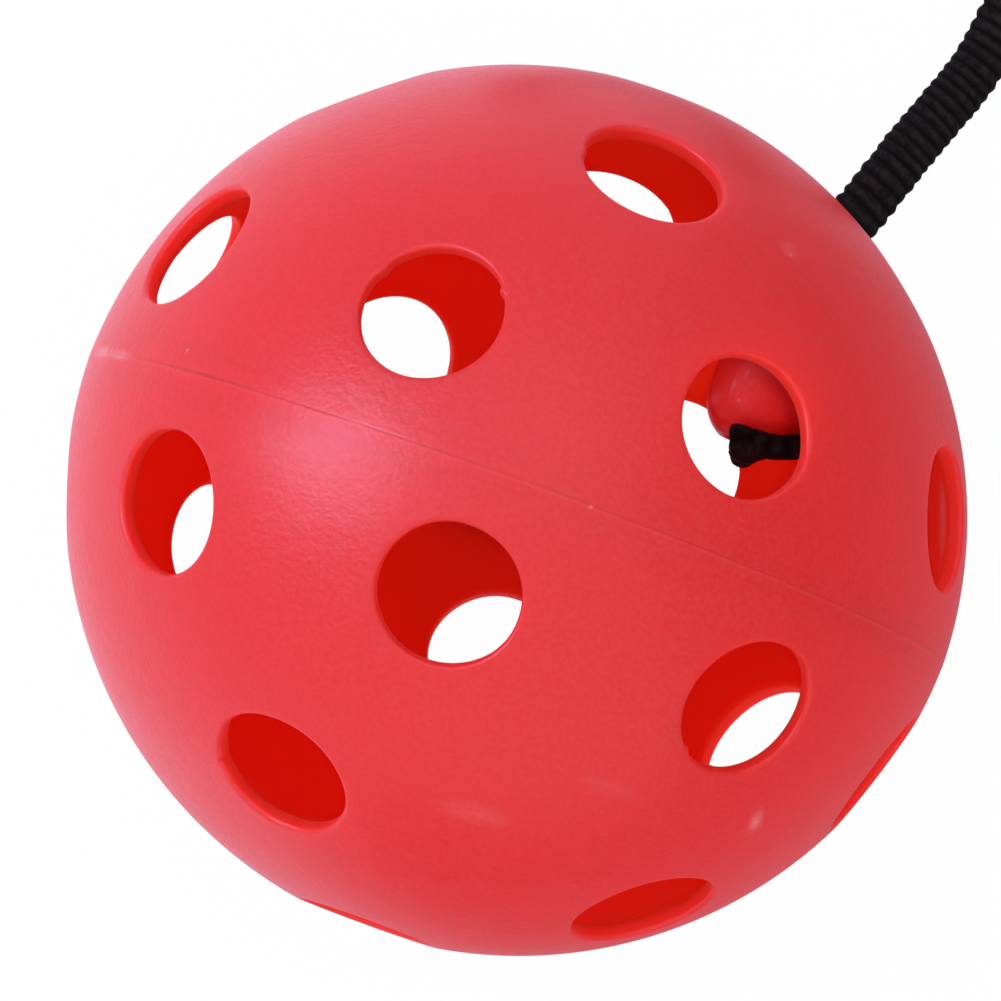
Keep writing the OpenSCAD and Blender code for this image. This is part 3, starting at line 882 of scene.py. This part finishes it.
# Rubbed spots and painted highlights on the ball in millimetres: centre, reach on each axis, strength
RUBS_AND_HIGHLIGHTS = [
    ((-34.6, 0.05, 45.6), (1.6, 0.7, 6.5), 0.85), ((-33.0, 0.0, 50.4), (1.8, 0.6, 5.0), 0.6),
    # A pale crescent on the inner edge of the hole by the right limb: a painted highlight
    ((32.0, 11.2, 31.9), (2.0, 6.5, 2.6), 0.7),
    # The second mark here is a painted highlight on the seam's ridge
    ((19.8, 10.0, 64.1), (0.4, 1.1, 0.6), 0.35), ((-11.5, 0.05, 70.1), (5.5, 0.2, 3.0), 0.3),
    ((19.7, 8.3, 64.8), (0.45, 0.8, 0.6), 0.45), ((18.9, 6.5, 65.8), (0.6, 0.7, 0.6), 0.4),
    ((18.0, 5.5, 66.5), (0.8, 0.4, 0.6), 0.3),
    ((-27.74, 1.56, 58.83), (0.3, 0.3, 0.3), 0.5), ((6.11, -0.17, 71.46), (0.26, 0.22, 0.3), 0.7),
    ((13.6, 24.9, 57.4), (1.3, 1.3, 1.3), 0.2), ((13.8, 24.5, 57.6), (0.3, 0.3, 0.3), 0.6),
    ((26.2, -17.6, 52.5), (0.75, 1.6, 2.4), 0.55), ((5.5, -24.8, 60.7), (4.2, 1.4, 1.8), 0.16),
    # The second mark here is a painted highlight: a pale line along the seam's ridge all round
    ((-28.3, -7.1, 56.8), (0.5, 0.5, 0.5), 0.5), ((0.0, -0.22, 36.0), (200.0, 0.2, 200.0), 0.07),
    # The first mark here is a painted highlight below the seam, with some frosting
    ((-17.0, -3.6, 67.2), (8.0, 3.6, 5.0), 0.1), ((15.0, -19.5, 62.0), (5.0, 1.2, 3.0), 0.08),
    # The marks on the boss, down to the end: painted highlight streaks, a dot and a broad sheen
    ((12.7, 16.4, 21.6), (0.24, 1.1, 0.6), 0.5), ((13.4, 17.6, 22.0), (0.2, 0.6, 0.5), 0.4),
    ((13.5, 15.3, 22.1), (0.25, 0.25, 0.4), 0.6), ((13.5, 16.6, 21.8), (4.0, 4.0, 4.0), 0.1)]
# Stretches of the weld line painted deeper in colour: painted shade in its groove
WELD_SHADES = [((-26.0, 0.03, 61.0), (9.0, 0.22, 9.0), 0.95), ((0.0, 0.0, 36.0), (200.0, 0.15, 200.0), 0.16)]


def ball_marks():
    """The rubbed spots with their painted highlights, and the painted shade along the weld's groove, each the
    sum of its marks by their strengths."""
    group, i, o = new_group(
        "ball_marks", [("Position", VECTOR, None)], [("Rubs And Highlights", VALUE), ("Weld Shade", VALUE)])
    spot = soft_spot_mark()
    for title, marks in (("Rubs And Highlights", RUBS_AND_HIGHLIGHTS), ("Weld Shade", WELD_SHADES)):
        total = 0.0
        for centre, spread, strength in marks:
            mask = use_group(group, spot, {
                "Position": i["Position"], "Centre": [c * MM for c in centre],
                "Reach": [c * MM for c in spread], "Break Up": 0.55})["Mask"]
            total = maths(group, "ADD", total, maths(group, "MULTIPLY", mask, strength))
        group.links.new(total, o[title])
    return group


def tone_drift():
    """A colour that drifts slowly to a darker shade of itself, by noise."""
    group, i, o = new_group(
        "tone_drift", [("Position", VECTOR, None), ("Colour", COLOUR, None)],
        [("Tone", COLOUR), ("Flow", VALUE)])
    flow = noise(group, i["Position"], 55.0, 3.0)
    darker = blend(group, 1.0, i["Colour"], (0.93, 0.93, 0.93, 1), "MULTIPLY")
    group.links.new(blend(group, flow, darker, i["Colour"]), o["Tone"])
    group.links.new(flow, o["Flow"])
    return group


def orange_peel():
    """Fine peel of a moulded skin, and its height with a slower swell added."""
    group, i, o = new_group(
        "orange_peel", [("Position", VECTOR, None)], [("Peel", VALUE), ("Height", VALUE)])
    peel, swell = (noise(group, i["Position"], scale, 2.0) for scale in (2300.0, 420.0))
    group.links.new(peel, o["Peel"])
    group.links.new(maths(group, "ADD", peel, maths(group, "MULTIPLY", swell, 1.5)), o["Height"])
    return group


def shared_group(make):
    """The node group that a function makes, built the first time."""
    return bpy.data.node_groups.get(make.__name__) or make()


def moulded_shader(name, colour, level, reach):
    """Moulded plastic that lets some red light through its wall: its tree,
    shader, coordinates and drifting tone. Reach scales how far light spreads."""
    material, tree, shader = new_material(name)
    coords = place(tree, "ShaderNodeTexCoord").outputs["Object"]
    drift = use_group(tree, shared_group(tone_drift), {"Position": coords, "Colour": colour})
    set_inputs(tree, shader, {
        "Subsurface Weight": 1.0, "Subsurface Radius": LIGHT_SPREAD, "Subsurface Scale": reach,
        "Specular IOR Level": level})
    return material, tree, shader, coords, drift


def dull_material(finish, name, colour, level):
    """Dull moulded plastic of the holes' walls and the shells' insides, with the ball's rubbed spots; one is
    a painted highlight on a hole's inner edge.
    """
    material, tree, shader, coords, drift = moulded_shader(name, colour, level, WALL_REACH)
    marks = use_group(tree, shared_group(ball_marks), {"Position": coords})
    tree.links.new(blend(tree, marks["Rubs And Highlights"], drift["Tone"], finish.chalk), shader.inputs["Base Color"])
    shader.inputs["Roughness"].default_value = 0.55
    return material


def plastic_material(finish, name, colour, reach):
    """Satin moulded plastic, with a fine orange peel, a few rubbed spots, painted highlights and painted
    shade along the weld's groove.
    """
    material, tree, shader, coords, drift = moulded_shader(name, colour, SKIN_LEVEL, reach)
    marks = use_group(tree, shared_group(ball_marks), {"Position": coords})
    skin = use_group(tree, shared_group(orange_peel), {"Position": coords})
    grain = ramp(tree, skin["Peel"], 0.35, 0.75, 0.0, 0.05)
    # Pale rubs and painted highlights, with a fine grain
    pale = blend(tree, maths(tree, "ADD", marks["Rubs And Highlights"], grain), drift["Tone"], finish.chalk)
    # Painted shade along the weld's groove, deepest on one stretch
    tree.links.new(blend(tree, marks["Weld Shade"], pale, finish.deep), shader.inputs["Base Color"])
    satin = ramp(tree, maths(tree, "ADD", drift["Flow"], skin["Peel"]), 0.7, 1.3, 0.31, 0.43)
    rougher_at_marks = maths(tree, "MULTIPLY", marks["Rubs And Highlights"], 0.2)
    tree.links.new(maths(tree, "ADD", satin, rougher_at_marks), shader.inputs["Roughness"])
    shader.inputs["Specular Tint"].default_value = SKIN_TINT
    bump = place(tree, "ShaderNodeBump", {"Height": skin["Height"], "Strength": 1.0, "Distance": PEEL_RELIEF})
    tree.links.new(bump.outputs["Normal"], shader.inputs["Normal"])
    return material


def woven_material(name, rib, groove, yarns, relief):
    """Woven ribs: dark between them as painted shade, with yarns and fuzz on them."""
    material, tree, shader = new_material(name)
    uv = place(tree, "ShaderNodeUVMap", uv_map="Along").outputs[0]
    weave = use_group(tree, shared_group(woven_rib), {"UV": uv, "Yarns": yarns, "Fuzz Scale": 1.3})
    twist = maths(tree, "ADD", 0.75, maths(tree, "MULTIPLY", weave["Yarn"], 0.25))
    lit = maths(tree, "MULTIPLY", maths(tree, "POWER", weave["Rib"], 1.5), twist)
    spread = ramp(tree, weave["Fuzz"], 0.36, 0.68, 0.2, 1.4)
    share = place(tree, "ShaderNodeClamp", {0: maths(tree, "MULTIPLY", lit, spread)}).outputs[0]
    # Painted shade between the ribs, the rib colour on their tops
    tree.links.new(blend(tree, share, groove, rib), shader.inputs["Base Color"])
    set_inputs(tree, shader, {"Roughness": 0.62, "Specular IOR Level": CORD_LEVEL})
    height = maths(tree, "ADD", maths(tree, "MULTIPLY", weave["Yarn"], 0.25), weave["Fuzz"])
    bump = place(tree, "ShaderNodeBump", {"Height": height, "Strength": 0.8, "Distance": relief})
    tree.links.new(bump.outputs["Normal"], shader.inputs["Normal"])
    return material


def webbing_material(finish):
    """Black ribbed webbing of the cord."""
    return woven_material("ribbed_webbing", finish.webbing, finish.groove, 26.0, 0.12 * MM)


def elastic_material(finish):
    """Dark grey elastic of the tie."""
    return woven_material("tie_elastic", finish.elastic, finish.groove, 30.0, 0.08 * MM)


def stored_material(name, make, *values):
    """The material of that name, made the first time it is asked for."""
    return bpy.data.materials.get(name) or make(*values)


def dress(obj, material, body, slot, *nodes):
    """Gives a piece its material and its body, and hides the nodes it stands for. slot is not used."""
    obj.data.materials.append(material)
    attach(obj, body)
    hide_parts(*nodes)
    return obj


# Stage

def photo_camera(scene, centre):
    """The photograph's camera, which sees the ball's centre where the picture
    has it. Gives back the camera's turn."""
    focal_px = LENS_MM / SENSOR_MM * IMAGE_PX
    off = np.array([BALL_AT_PX[0] - IMAGE_PX / 2, IMAGE_PX / 2 - BALL_AT_PX[1]]) / focal_px
    sight = CAMERA_FAR * unit(np.array([off[0], off[1], 1.0]))
    at = centre + sight @ (CAMERA_AXES * np.array([[-1], [-1], [1]]))
    data = bpy.data.cameras.new("photo_camera")
    data.sensor_width = SENSOR_MM
    data.lens = LENS_MM
    camera = bpy.data.objects.new("photo_camera", data)
    turn = Matrix(CAMERA_AXES.T.tolist()).to_4x4()
    camera.matrix_world = Matrix.Translation(Vector(at)) @ turn
    scene.collection.objects.link(camera)
    scene.camera = camera
    return turn


def ray_masks(tree):
    """Masks of the rays that see the background, and of glossy rays."""
    path = place(tree, "ShaderNodeLightPath").outputs
    seen = maths(tree, "MAXIMUM", path["Is Camera Ray"], path["Is Transmission Ray"])
    return seen, path["Is Glossy Ray"]


def pale_floor(scene):
    """A pale floor that the camera sees as white. Glossy rays see it brighter
    on the lit side."""
    mesh = bpy.data.meshes.new("floor")
    r = FLOOR_REACH
    mesh.from_pydata([(-r, -r, 0), (r, -r, 0), (r, r, 0), (-r, r, 0)], [], [(0, 1, 2, 3)])
    floor = bpy.data.objects.new("floor", mesh)
    scene.collection.objects.link(floor)
    material = bpy.data.materials.new("pale_floor")
    material.use_nodes = True
    tree = material.node_tree
    tree.nodes.clear()
    seen, glossy = ray_masks(tree)
    share = ramp(tree, maths(tree, "MAXIMUM", seen, glossy), 0.0, 1.0, *FLOOR_SHARE)
    where = place(tree, "ShaderNodeTexCoord").outputs["Object"]
    across = vector_maths(tree, "DOT_PRODUCT", where, LIT_FLOOR)["Value"]
    fall = ramp(tree, across, -FLOOR_EDGE, FLOOR_EDGE, *FLOOR_GLOW)
    glow = place(tree, "ShaderNodeMix", {0: glossy, 2: 1.0, 3: fall}, data_type="FLOAT").outputs[0]
    tint = blend(tree, glossy, WHITE, LIT_TINT)
    plain = place(tree, "ShaderNodeBsdfDiffuse", {"Color": (0.9, 0.9, 0.9, 1)})
    white = place(tree, "ShaderNodeEmission", {"Color": tint, "Strength": glow})
    mixed = place(tree, "ShaderNodeMixShader", {0: share, 1: plain.outputs[0], 2: white.outputs[0]})
    place(tree, "ShaderNodeOutputMaterial", {"Surface": mixed.outputs[0]})
    mesh.materials.append(material)


def studio_world(scene):
    """A white studio, which lights the object less from its dark side and with
    a tint from its lit side. The camera sees it as plain white."""
    world = bpy.data.worlds.new("studio")
    scene.world = world
    world.use_nodes = True
    tree = world.node_tree
    tree.nodes.clear()
    seen, _ = ray_masks(tree)
    way = place(tree, "ShaderNodeTexCoord").outputs["Generated"]
    dark, lit = (vector_maths(tree, "DOT_PRODUCT", way, side)["Value"] for side in (DARK_SIDE, LIT_SIDE))
    level = ramp(tree, dark, 0.35, 0.95, *SKY_LEVEL)
    strength = place(tree, "ShaderNodeMix", {0: seen, 2: level, 3: 1.0}, data_type="FLOAT").outputs[0]
    unseen = maths(tree, "SUBTRACT", 1.0, seen)
    tint = blend(tree, maths(tree, "MULTIPLY", ramp(tree, lit, -0.3, 0.7), unseen), WHITE, LIT_TINT)
    sky = place(tree, "ShaderNodeBackground", {"Color": tint, "Strength": strength})
    place(tree, "ShaderNodeOutputWorld", {"Surface": sky.outputs[0]})


def boss_spot(scene, centre, turn):
    """A narrow spot along the camera's sight, on the boss behind its hole."""
    spot = bpy.data.lights.new("boss_spot", "SPOT")
    spot.energy = SPOT_POWER
    spot.spot_size = SPOT_CONE
    spot.spot_blend = 1.0
    spot.shadow_soft_size = SPOT_SIZE
    obj = bpy.data.objects.new("boss_spot", spot)
    obj.visible_glossy = False
    target = centre + np.array(BOSS_SIGHT_MM) * MM @ CAMERA_AXES[:2]
    obj.matrix_world = Matrix.Translation(Vector(target + SPOT_FAR * CAMERA_AXES[2])) @ turn
    scene.collection.objects.link(obj)


def area_lamps(scene, centre):
    """The studio's soft lamps, each turned to the ball's centre."""
    for name, direction, far, size, power, tint, mirrored in LAMPS:
        lamp = bpy.data.lights.new(name, "AREA")
        lamp.size = size
        lamp.energy = power
        lamp.color = tint[:3]
        obj = bpy.data.objects.new(name, lamp)
        way = Vector(direction).normalized()
        obj.location = Vector(centre) + way * far
        obj.rotation_mode = "QUATERNION"
        obj.rotation_quaternion = (-way).to_track_quat("-Z", "Y")
        obj.visible_glossy = mirrored
        scene.collection.objects.link(obj)


# Operators

class BALL_OT_stage(bpy.types.Operator):
    """Makes the camera, the floor, the world and the lamps"""
    bl_idname = "ball.stage"
    bl_label = "Stage"

    def execute(self, context):
        scene = context.scene
        scene.view_settings.view_transform = "Standard"
        centre = np.array([0.0, 0.0, ball_centre_z(scene.ball_sizes)])
        turn = photo_camera(scene, centre)
        pale_floor(scene)
        studio_world(scene)
        boss_spot(scene, centre, turn)
        area_lamps(scene, centre)
        return {"FINISHED"}


class BALL_OT_cord(bpy.types.Operator):
    """Makes the cord from the bore to the coil, its end knot and the tie"""
    bl_idname = "ball.cord"
    bl_label = "Cord, end knot and tie"

    def execute(self, context):
        scene = context.scene
        ball, cord, finish = scene.ball_sizes, scene.cord_sizes, scene.finishes
        webbing = stored_material("ribbed_webbing", webbing_material, finish)
        line, flat, heading = cord_line(ball, cord)
        points, turn, s = hermite(line, flat, cord.rib_pitch / RINGS_PER_RIB)
        opened = np.clip((s - cord.tail_depth) / cord.open_len, 0, 1)
        drawn = np.clip((s[-1] - s) / DRAWN_LEN, 0, 1)
        drawn = drawn ** 2 * (3 - 2 * drawn)
        half_w = (cord.bore_w + opened * (cord.width - cord.bore_w)) / 2
        half_w = half_w * (DRAWN_SHARE + (1 - DRAWN_SHARE) * drawn)
        grid, faces, uv = ribbed_tube(
            points, turn, s, half_w, cord.thickness / 2, CORD_POWER, cord.rib_pitch, cord.rib_depth,
            RIB_LEAN, CORD_CAP)
        tube = new_piece("ribbed_cord", [(grid, faces)], uv)
        dress(tube, webbing, "ball", "cord_webbing", "cord_lead", "cord_coil")

        end = line[-1]
        up = np.array([0.0, 0.0, 1.0])
        half = cord.end_d / 2
        strand = knot_strand(END_KNOT_LINE, end, [heading, np.cross(up, heading), up],
                             ([0, 0.1, 1], [1.1 * half, half, half]), ([0, 1], [half, half]),
                             cord.rib_pitch, (0.21, 0.32, 0.92), CORD_CAP)
        knot = new_piece("end_knot", [strand[:2]], strand[2])
        dress(knot, webbing, "ball", "cord_webbing", "cord_end_knot")

        loop = tie_loop(cord)
        tie = new_piece("coil_tie", [loop[:2]], loop[2])
        elastic = stored_material("tie_elastic", elastic_material, finish)
        dress(tie, elastic, "ball", "tie_elastic", "cord_tie")
        return {"FINISHED"}


class BALL_OT_shells(bpy.types.Operator):
    """Makes the two welded half shells"""
    bl_idname = "ball.shells"
    bl_label = "Half shells"

    def execute(self, context):
        scene = context.scene
        ball, finish = scene.ball_sizes, scene.finishes
        plastic = plastic_material(finish, "moulded_plastic", finish.plastic, WALL_REACH)
        others = (dull_material(finish, "moulded_inside", finish.inside, INSIDE_LEVEL),
                  dull_material(finish, "moulded_wall", finish.hole_wall, HOLE_WALL_LEVEL),
                  plastic_material(finish, "moulded_weld", finish.weld, WELD_REACH),
                  plastic_material(finish, "moulded_boss", finish.boss, BOSS_REACH))
        for name, node, half, turn, seed in (
                ("upper_half", "upper_shell", 1, ball.upper_turn, 11),
                ("lower_half", "lower_shell", -1, ball.lower_turn, 23)):
            obj = half_shell(name, ball, half, turn, seed)
            dress(obj, plastic, "ball", "ball_plastic", node)
            for material in others:
                obj.data.materials.append(material)
        return {"FINISHED"}


class BALL_OT_stopper(bpy.types.Operator):
    """Makes the tail in the bore and the stopper knot on the boss"""
    bl_idname = "ball.stopper"
    bl_label = "Tail and stopper knot"

    def execute(self, context):
        scene = context.scene
        ball, cord, finish = scene.ball_sizes, scene.cord_sizes, scene.finishes
        webbing = stored_material("ribbed_webbing", webbing_material, finish)
        x, z, mouth, nose = boss_place(ball)
        seat = np.array([x, nose + nose_start(ball)[1] - cord.gap, z])
        tail = (mouth - cord.tail_depth - seat[1]) / MM
        line = [(0, tail, 0), (0, tail / 2, 0)] + STOPPER_LINE
        wide, thin, half = cord.bore_w / 2, cord.thickness / 2, cord.stopper_d / 2
        # Shares of its length: in the bore, then under the nose, then round it
        at = [0, 0.43, 0.5, 0.6, 0.67, 1]
        under = 0.8 * half
        strand = knot_strand(line, seat, np.eye(3), (at, [wide, wide, under, under, half, half]),
                             (at, [thin, thin, under, under, half, half]), cord.rib_pitch,
                             (0.32, 0.21, 0.92), CORD_CAP)
        turn = knot_strand(STOPPER_TURN, seat, np.eye(3), ([0, 1], [0.55 * half, 0.55 * half]),
                           ([0, 1], [1.15 * half, 1.15 * half]), cord.rib_pitch, (1, 0, 0.02), TURN_CAP)
        knot = new_piece("stopper_knot", [strand[:2], turn[:2]], np.concatenate([strand[2], turn[2]]))
        dress(knot, webbing, "cord_inner", "cord_webbing", "cord_tail", "cord_stopper")
        return {"FINISHED"}


class BALL_PT_panel(bpy.types.Panel):
    """Lists the pieces in the sidebar"""
    bl_idname = "BALL_PT_panel"
    bl_label = "Perforated ball"
    bl_space_type = "VIEW_3D"
    bl_region_type = "UI"
    bl_category = "Ball"

    def draw(self, context):
        for operator in OPERATORS:
            self.layout.operator(operator.bl_idname)
        for group in (context.scene.ball_sizes, context.scene.cord_sizes, context.scene.finishes):
            box = self.layout.box()
            for key in group.bl_rna.properties.keys():
                if key not in ("rna_type", "name"):
                    box.prop(group, key)


OPERATORS = (BALL_OT_stage, BALL_OT_cord, BALL_OT_shells, BALL_OT_stopper)
CLASSES = (BallSizes, CordSizes, Finishes, *OPERATORS, BALL_PT_panel)


def register():
    """Registers the classes, and the sizes and finishes on the scene."""
    for made in CLASSES:
        bpy.utils.register_class(made)
    bpy.types.Scene.ball_sizes = bpy.props.PointerProperty(type=BallSizes)
    bpy.types.Scene.cord_sizes = bpy.props.PointerProperty(type=CordSizes)
    bpy.types.Scene.finishes = bpy.props.PointerProperty(type=Finishes)


def unregister():
    """Takes them off again."""
    for name in ("ball_sizes", "cord_sizes", "finishes"):
        delattr(bpy.types.Scene, name)
    for made in reversed(CLASSES):
        bpy.utils.unregister_class(made)


def main():
    """Registers the add-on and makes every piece."""
    register()
    for step in (bpy.ops.ball.stage, bpy.ops.ball.cord, bpy.ops.ball.shells, bpy.ops.ball.stopper):
        step()


if __name__ == "__main__":
    main()
